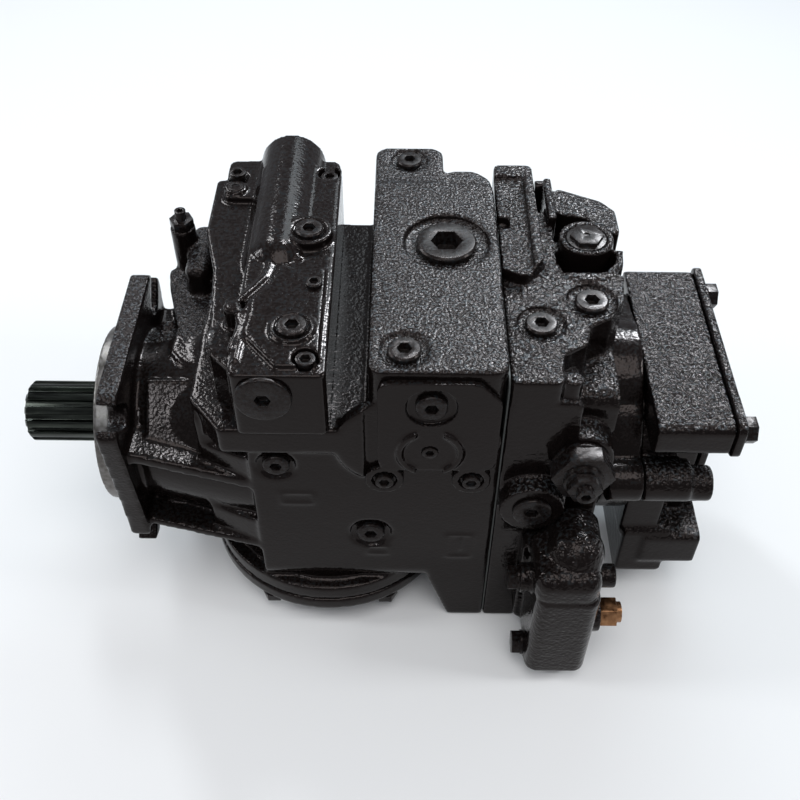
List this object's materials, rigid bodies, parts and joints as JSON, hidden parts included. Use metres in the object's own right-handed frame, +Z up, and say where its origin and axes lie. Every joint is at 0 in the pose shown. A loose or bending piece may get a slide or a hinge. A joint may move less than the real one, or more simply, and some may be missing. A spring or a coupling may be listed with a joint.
{
  "type": "axial piston pump",
  "caption": "Variable-displacement axial piston pump: splined shaft, slotted mounting flange, ribbed cast housing, control block, end cap with ports, charge pump and rear unit.",
  "frame": {"origin": "on the shaft axis at the mounting flange's face", "axes": "+X along the shaft towards the rear of the pump, +Z up, the servo cover side faces -Y"},
  "size_m": [0.5015, 0.296, 0.2805],
  "materials": {
    "gloss_black_paint": "gloss over rough casting",
    "painted_steel": "gloss",
    "dark_steel": "ground",
    "oiled_steel": "dark, oiled",
    "machined_aluminium": "turned",
    "seal_rubber": "matt",
    "gasket_fibre": "matt",
    "brass": "dull",
    "bronze": "machined"
  },
  "bodies": {
    "housing": {"bottom_cover": "gloss_black_paint", "brass_fitting": "brass", "cap_screws_m12": "painted_steel", "cap_screws_m8": "painted_steel", "charge_pump_housing": "gloss_black_paint", "charge_relief_valve": "painted_steel", "charge_ring": "dark_steel", "control_block": "gloss_black_paint", "control_gasket": "gasket_fibre", "end_cap": "gloss_black_paint", "end_cap_gasket": "gasket_fibre", "filter_adapter": "gloss_black_paint", "front_bearing_outer": "dark_steel", "hex_bolts_m10": "painted_steel", "hex_bolts_m8": "painted_steel", "hose_bracket": "gloss_black_paint", "large_socket_plugs": "painted_steel", "multifunction_valve_back": "painted_steel", "multifunction_valve_front": "painted_steel", "neutral_adjuster": "painted_steel", "pump_housing": "gloss_black_paint", "rear_bearing": "dark_steel", "rear_cover": "gloss_black_paint", "rear_unit": "gloss_black_paint", "seal_retainer": "machined_aluminium", "servo_adjuster": "painted_steel", "servo_cover": "gloss_black_paint", "shaft_seal": "seal_rubber", "socket_plugs": "painted_steel", "spool_end_caps": "painted_steel", "trunnion_bearings": "dark_steel", "valve_plate": "bronze"},
    "shaft": {"drive_shaft": "oiled_steel", "front_bearing_inner": "dark_steel", "cylinder_block": "dark_steel", "block_spring": "dark_steel", "charge_pump_inner_rotor": "dark_steel"},
    "swashplate": {"swashplate": "dark_steel"},
    "slipper_retainer": {"slipper_retainer": "dark_steel"},
    "servo_piston": {"servo_piston": "dark_steel"},
    "control_spool": {"control_spool": "dark_steel"},
    "charge_pump_outer_rotor": {"charge_pump_outer_rotor": "dark_steel"},
    "slipper_1": {"slipper_1": "bronze"},
    "piston_1": {"piston_1": "dark_steel"},
    "slipper_2": {"slipper_2": "bronze"},
    "piston_2": {"piston_2": "dark_steel"},
    "slipper_3": {"slipper_3": "bronze"},
    "piston_3": {"piston_3": "dark_steel"},
    "slipper_4": {"slipper_4": "bronze"},
    "piston_4": {"piston_4": "dark_steel"},
    "slipper_5": {"slipper_5": "bronze"},
    "piston_5": {"piston_5": "dark_steel"},
    "slipper_6": {"slipper_6": "bronze"},
    "piston_6": {"piston_6": "dark_steel"},
    "slipper_7": {"slipper_7": "bronze"},
    "piston_7": {"piston_7": "dark_steel"},
    "slipper_8": {"slipper_8": "bronze"},
    "piston_8": {"piston_8": "dark_steel"},
    "slipper_9": {"slipper_9": "bronze"},
    "piston_9": {"piston_9": "dark_steel"}
  },
  "joints": [
    {"name": "shaft_spin", "type": "hinge", "parent": "housing", "child": "shaft", "pos_m": [0, 0, 0], "axis": [1, 0, 0], "continuous": true},
    {"name": "swash_tilt", "type": "hinge", "parent": "housing", "child": "swashplate", "pos_m": [0.143, 0, 0], "axis": [0, 0, 1], "range_deg": [-17, 17], "stiffness_Nm_per_rad": 60},
    {"name": "control_spool_slide", "type": "slide", "parent": "housing", "child": "control_spool", "axis": [0, 1, 0], "range_m": [-0.005, 0.005], "stiffness_N_per_m": 4000},
    {"name": "servo_slide", "type": "slide", "parent": "housing", "child": "servo_piston", "axis": [0, 1, 0], "range_m": [-0.0215, 0.0215]},
    {"name": "retainer_spin", "type": "hinge", "parent": "swashplate", "child": "slipper_retainer", "pos_m": [0.143, 0, 0], "axis": [1, 0, 0], "continuous": true},
    {"name": "charge_outer_spin", "type": "hinge", "parent": "housing", "child": "charge_pump_outer_rotor", "pos_m": [0.35, 0.0026, 0], "axis": [1, 0, 0], "continuous": true},
    {"name": "slipper_1_spin", "type": "hinge", "parent": "slipper_retainer", "child": "slipper_1", "pos_m": [0.143, 0.04, 0], "axis": [1, 0, 0], "continuous": true},
    {"name": "piston_1_ball", "type": "hinge", "parent": "slipper_1", "child": "piston_1", "pos_m": [0.143, 0.04, 0], "axis": [0, 0, 1], "range_deg": [-18, 18]},
    {"name": "slipper_2_spin", "type": "hinge", "parent": "slipper_retainer", "child": "slipper_2", "pos_m": [0.143, 0.03064, 0.02571], "axis": [1, 0, 0], "continuous": true},
    {"name": "piston_2_ball", "type": "hinge", "parent": "slipper_2", "child": "piston_2", "pos_m": [0.143, 0.03064, 0.02571], "axis": [0, 0, 1], "range_deg": [-18, 18]},
    {"name": "slipper_3_spin", "type": "hinge", "parent": "slipper_retainer", "child": "slipper_3", "pos_m": [0.143, 0.00695, 0.03939], "axis": [1, 0, 0], "continuous": true},
    {"name": "piston_3_ball", "type": "hinge", "parent": "slipper_3", "child": "piston_3", "pos_m": [0.143, 0.00695, 0.03939], "axis": [0, 0, 1], "range_deg": [-18, 18]},
    {"name": "slipper_4_spin", "type": "hinge", "parent": "slipper_retainer", "child": "slipper_4", "pos_m": [0.143, -0.02, 0.03464], "axis": [1, 0, 0], "continuous": true},
    {"name": "piston_4_ball", "type": "hinge", "parent": "slipper_4", "child": "piston_4", "pos_m": [0.143, -0.02, 0.03464], "axis": [0, 0, 1], "range_deg": [-18, 18]},
    {"name": "slipper_5_spin", "type": "hinge", "parent": "slipper_retainer", "child": "slipper_5", "pos_m": [0.143, -0.03759, 0.01368], "axis": [1, 0, 0], "continuous": true},
    {"name": "piston_5_ball", "type": "hinge", "parent": "slipper_5", "child": "piston_5", "pos_m": [0.143, -0.03759, 0.01368], "axis": [0, 0, 1], "range_deg": [-18, 18]},
    {"name": "slipper_6_spin", "type": "hinge", "parent": "slipper_retainer", "child": "slipper_6", "pos_m": [0.143, -0.03759, -0.01368], "axis": [1, 0, 0], "continuous": true},
    {"name": "piston_6_ball", "type": "hinge", "parent": "slipper_6", "child": "piston_6", "pos_m": [0.143, -0.03759, -0.01368], "axis": [0, 0, 1], "range_deg": [-18, 18]},
    {"name": "slipper_7_spin", "type": "hinge", "parent": "slipper_retainer", "child": "slipper_7", "pos_m": [0.143, -0.02, -0.03464], "axis": [1, 0, 0], "continuous": true},
    {"name": "piston_7_ball", "type": "hinge", "parent": "slipper_7", "child": "piston_7", "pos_m": [0.143, -0.02, -0.03464], "axis": [0, 0, 1], "range_deg": [-18, 18]},
    {"name": "slipper_8_spin", "type": "hinge", "parent": "slipper_retainer", "child": "slipper_8", "pos_m": [0.143, 0.00695, -0.03939], "axis": [1, 0, 0], "continuous": true},
    {"name": "piston_8_ball", "type": "hinge", "parent": "slipper_8", "child": "piston_8", "pos_m": [0.143, 0.00695, -0.03939], "axis": [0, 0, 1], "range_deg": [-18, 18]},
    {"name": "slipper_9_spin", "type": "hinge", "parent": "slipper_retainer", "child": "slipper_9", "pos_m": [0.143, 0.03064, -0.02571], "axis": [1, 0, 0], "continuous": true},
    {"name": "piston_9_ball", "type": "hinge", "parent": "slipper_9", "child": "piston_9", "pos_m": [0.143, 0.03064, -0.02571], "axis": [0, 0, 1], "range_deg": [-18, 18]}
  ],
  "couplings": [
    {"joint": "servo_slide", "follows": "swash_tilt", "m_per_rad": 0.07092},
    {"joint": "retainer_spin", "follows": "shaft_spin", "ratio": 1},
    {"joint": "charge_outer_spin", "follows": "shaft_spin", "ratio": 0.85714},
    {"joint": "slipper_1_spin", "follows": "shaft_spin", "ratio": -1},
    {"joint": "piston_1_ball", "follows": "swash_tilt", "ratio": -1},
    {"joint": "slipper_2_spin", "follows": "shaft_spin", "ratio": -1},
    {"joint": "piston_2_ball", "follows": "swash_tilt", "ratio": -1},
    {"joint": "slipper_3_spin", "follows": "shaft_spin", "ratio": -1},
    {"joint": "piston_3_ball", "follows": "swash_tilt", "ratio": -1},
    {"joint": "slipper_4_spin", "follows": "shaft_spin", "ratio": -1},
    {"joint": "piston_4_ball", "follows": "swash_tilt", "ratio": -1},
    {"joint": "slipper_5_spin", "follows": "shaft_spin", "ratio": -1},
    {"joint": "piston_5_ball", "follows": "swash_tilt", "ratio": -1},
    {"joint": "slipper_6_spin", "follows": "shaft_spin", "ratio": -1},
    {"joint": "piston_6_ball", "follows": "swash_tilt", "ratio": -1},
    {"joint": "slipper_7_spin", "follows": "shaft_spin", "ratio": -1},
    {"joint": "piston_7_ball", "follows": "swash_tilt", "ratio": -1},
    {"joint": "slipper_8_spin", "follows": "shaft_spin", "ratio": -1},
    {"joint": "piston_8_ball", "follows": "swash_tilt", "ratio": -1},
    {"joint": "slipper_9_spin", "follows": "shaft_spin", "ratio": -1},
    {"joint": "piston_9_ball", "follows": "swash_tilt", "ratio": -1}
  ]
}
